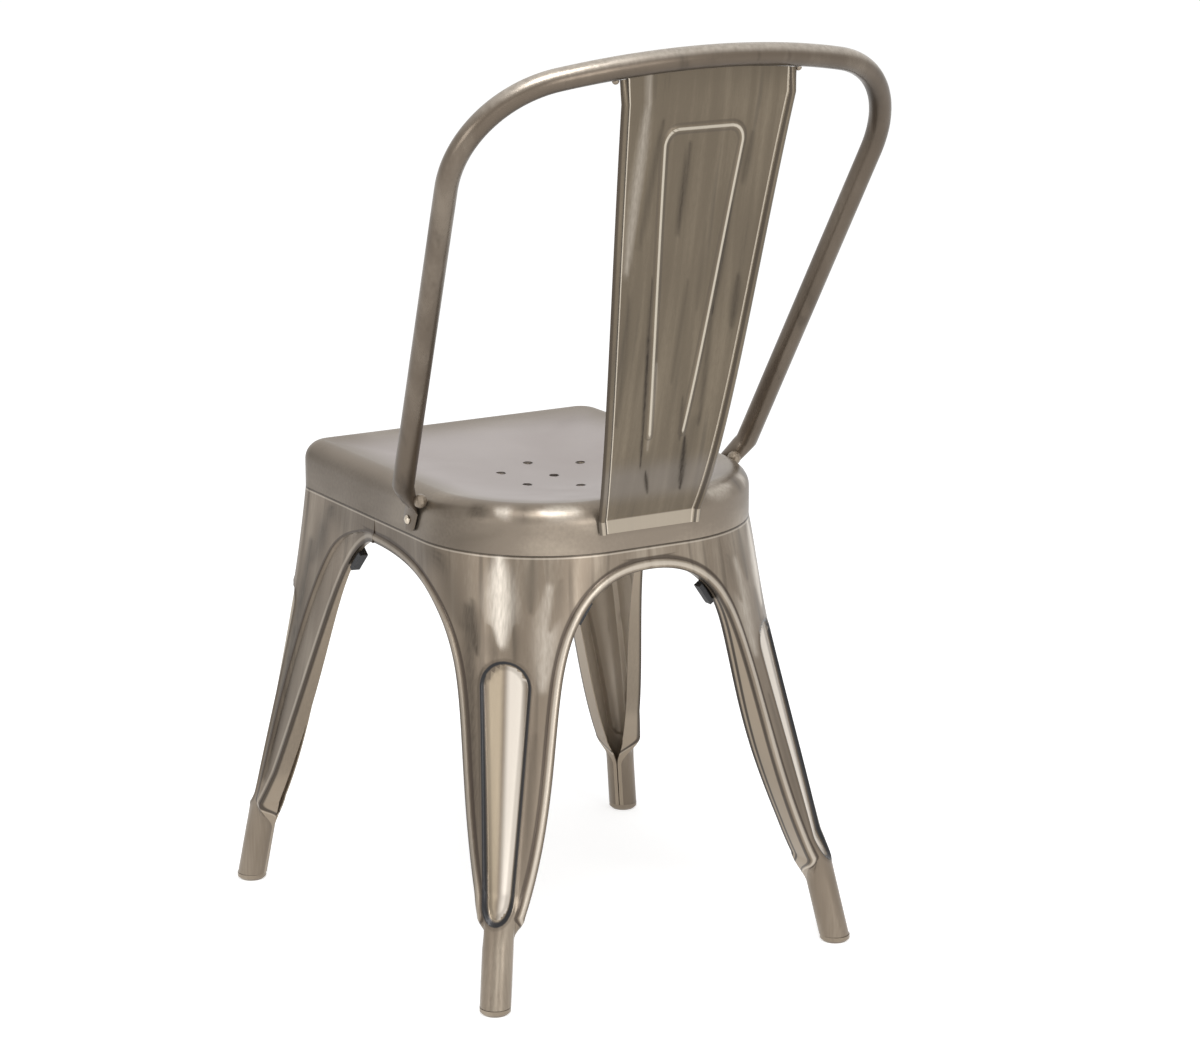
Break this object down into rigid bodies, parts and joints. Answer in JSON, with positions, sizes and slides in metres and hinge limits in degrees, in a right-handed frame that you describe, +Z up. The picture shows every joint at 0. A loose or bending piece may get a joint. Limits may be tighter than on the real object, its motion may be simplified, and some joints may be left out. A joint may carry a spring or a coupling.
{
  "type": "bistro chair",
  "caption": "Stacking bistro chair of pressed sheet steel with four flared legs, a dished seat, a tube hoop back and a central splat.",
  "frame": {"origin": "on the floor, under the middle of the chair's bounding box", "axes": "+Z up, -Y towards the front of the seat, +Y towards the back hoop, +X towards the sitter's left"},
  "size_m": [0.451, 0.5204, 0.8512],
  "materials": {
    "seat_finish": "antique brushed metallic lacquer, satin",
    "frame_finish": "antique brushed metallic lacquer, satin",
    "hoop_finish": "antique brushed metallic lacquer, satin",
    "splat_finish": "antique brushed metallic lacquer, satin",
    "brace_finish": "metallic lacquer, satin",
    "cap_finish": "metallic lacquer, satin",
    "bright_steel": "bright zinc-plated steel",
    "bumper_plastic": "moulded black plastic, matte"
  },
  "bodies": {
    "root": {"seat_pan": "seat_finish", "leg_front_left": "frame_finish", "leg_front_right": "frame_finish", "leg_rear_left": "frame_finish", "leg_rear_right": "frame_finish", "back_hoop": "hoop_finish", "back_splat": "splat_finish", "hoop_rivet_left": "bright_steel", "hoop_rivet_right": "bright_steel", "hoop_weld_left": "hoop_finish", "hoop_weld_right": "hoop_finish", "splat_weld_left": "hoop_finish", "splat_weld_right": "hoop_finish", "brace_lower": "brace_finish", "brace_upper": "brace_finish", "brace_bolt": "bright_steel", "brace_washer": "bright_steel", "brace_nut": "bright_steel", "foot_cap_front_left": "cap_finish", "foot_cap_front_right": "cap_finish", "foot_cap_rear_left": "cap_finish", "foot_cap_rear_right": "cap_finish", "bumper_side_left": "bumper_plastic", "bumper_side_right": "bumper_plastic", "bumper_rear_left": "bumper_plastic", "bumper_rear_right": "bumper_plastic"}
  },
  "joints": []
}
